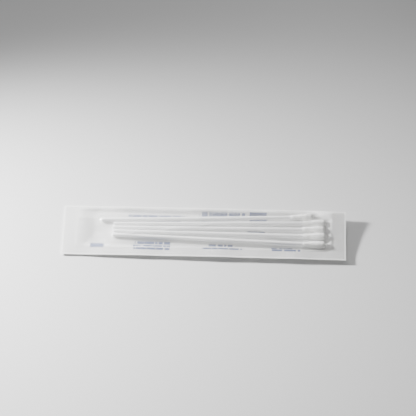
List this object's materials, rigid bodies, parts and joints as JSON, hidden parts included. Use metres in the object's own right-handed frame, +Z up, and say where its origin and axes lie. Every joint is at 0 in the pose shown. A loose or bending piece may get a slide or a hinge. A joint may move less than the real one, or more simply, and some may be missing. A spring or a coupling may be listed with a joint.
{
  "type": "peel pouch of cotton-tipped applicators",
  "caption": "Sealed flat peel pouch, clear film heat-sealed to a paper back, holding plastic-shaft cotton swabs fanned side by side.",
  "frame": {"origin": "under the middle of the pouch, on the surface it lies on", "axes": "+X along the pouch from the swabs' tails to their cotton ends, +Y across it, +Z up through the film"},
  "size_m": [0.2, 0.04, 0.006],
  "materials": {
    "paper": "matt uncoated medical paper, printed on its outer face",
    "film": "clear glossy laminate film",
    "shaft": "natural extruded polypropylene, satin, slightly translucent",
    "cotton": "bleached wound cotton"
  },
  "bodies": {
    "root": {"paper_web": "paper", "film_web": "film", "swab_shaft_1": "shaft", "swab_shaft_2": "shaft", "swab_shaft_3": "shaft", "swab_shaft_4": "shaft", "swab_shaft_5": "shaft", "cotton_bud_1": "cotton", "cotton_bud_2": "cotton", "cotton_bud_3": "cotton", "cotton_bud_4": "cotton", "cotton_bud_5": "cotton"}
  },
  "joints": []
}
